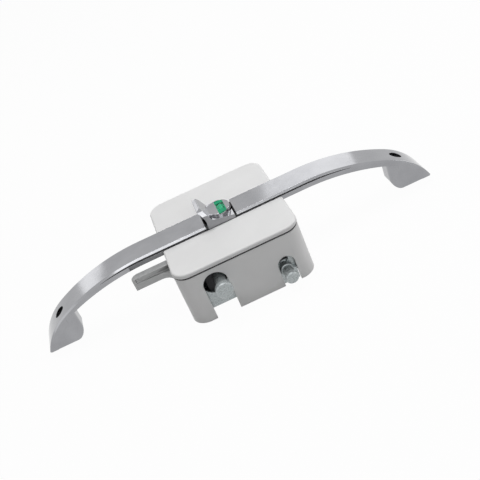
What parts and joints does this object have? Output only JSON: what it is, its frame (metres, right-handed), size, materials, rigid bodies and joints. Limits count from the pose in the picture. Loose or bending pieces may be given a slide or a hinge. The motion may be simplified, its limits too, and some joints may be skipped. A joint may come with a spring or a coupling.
{
  "type": "motorhome entry door lock",
  "caption": "Door lock with a chrome grab bar across a white cover, a rocking thumb lever with a green and red window, a side release lever, a sliding stud and a round deadbolt.",
  "frame": {"origin": "on the door face, in the middle of the case's four holes; the grab bar's middle is 2.5 mm towards +X", "axes": "+X along the grab bar, towards the deadbolt's end; -Y out of the side where the stud and the deadbolt come out; +Z away from the door, into the vehicle"},
  "size_m": [0.4162, 0.1559, 0.0824],
  "materials": {
    "chrome": "satin chrome plating, soft reflections",
    "dark_inlay": "matt black",
    "white_plastic": "semi-gloss, very fine grain",
    "zinc_steel": "bright zinc plated",
    "black_steel": "black oxide",
    "spring_steel": "drawn wire",
    "cast_zinc": "as cast, matt",
    "grey_plastic": "satin grey",
    "clear_lens": "clear",
    "green_film": "gloss",
    "green_surround": "satin",
    "red_film": "gloss"
  },
  "bodies": {
    "case": {"handle_arm_left": "chrome", "handle_arm_right": "chrome", "bar_inlays_left": "dark_inlay", "bar_inlays_right": "dark_inlay", "lid": "white_plastic", "lid_seal": "dark_inlay", "shell": "white_plastic", "cover_screws": "zinc_steel", "base_plate": "zinc_steel", "case_cover": "zinc_steel", "case_spacers": "zinc_steel", "case_screws": "zinc_steel", "arm_screws": "zinc_steel", "foot_nuts": "black_steel", "lever_post": "zinc_steel", "crank_post": "zinc_steel", "lever_spring": "spring_steel", "crank_spring": "spring_steel", "guide_rails": "black_steel", "deadbolt_bush": "zinc_steel", "deadbolt_guide": "zinc_steel", "thumb_bracket": "zinc_steel"},
    "thumb": {"thumb_lever": "chrome", "window_bezel": "green_surround", "window_lens": "clear_lens", "thumb_pin": "zinc_steel", "thumb_arm": "zinc_steel"},
    "flag": {"indicator_flag": "grey_plastic", "film_green": "green_film", "film_red": "red_film"},
    "crank": {"deadbolt_crank": "cast_zinc"},
    "bolt": {"deadbolt": "zinc_steel"},
    "lever": {"release_lever": "grey_plastic"},
    "carriage": {"stud_carriage": "black_steel", "locking_stud": "zinc_steel"}
  },
  "joints": [
    {"name": "thumb_turn", "type": "hinge", "parent": "case", "child": "thumb", "pos_m": [0.009, 0, 0.0475], "axis": [0, -1, 0], "range_deg": [0, 14]},
    {"name": "flag_turn", "type": "hinge", "parent": "thumb", "child": "flag", "pos_m": [0.005, 0, 0.053], "axis": [0, -1, 0], "range_deg": [0, 64]},
    {"name": "crank_turn", "type": "hinge", "parent": "case", "child": "crank", "pos_m": [0.0113, -0.01812, 0.02], "axis": [0, 0, -1], "range_deg": [0, 23.58]},
    {"name": "bolt_slide", "type": "slide", "parent": "case", "child": "bolt", "axis": [0, -1, 0], "range_m": [0, 0.01]},
    {"name": "lever_turn", "type": "hinge", "parent": "case", "child": "lever", "pos_m": [-0.036, -0.0244, 0.035], "axis": [0, 0, -1], "range_deg": [0, 24.15], "stiffness_Nm_per_rad": 0.3, "springref_deg": -17.19},
    {"name": "stud_slide", "type": "slide", "parent": "case", "child": "carriage", "axis": [-1, 0, 0], "range_m": [0, 0.009]}
  ],
  "couplings": [
    {"joint": "flag_turn", "follows": "thumb_turn", "ratio": 4.571},
    {"joint": "crank_turn", "follows": "thumb_turn", "ratio": 1.684},
    {"joint": "bolt_slide", "follows": "thumb_turn", "m_per_rad": 0.0409},
    {"joint": "stud_slide", "follows": "lever_turn", "m_per_rad": 0.02135}
  ]
}
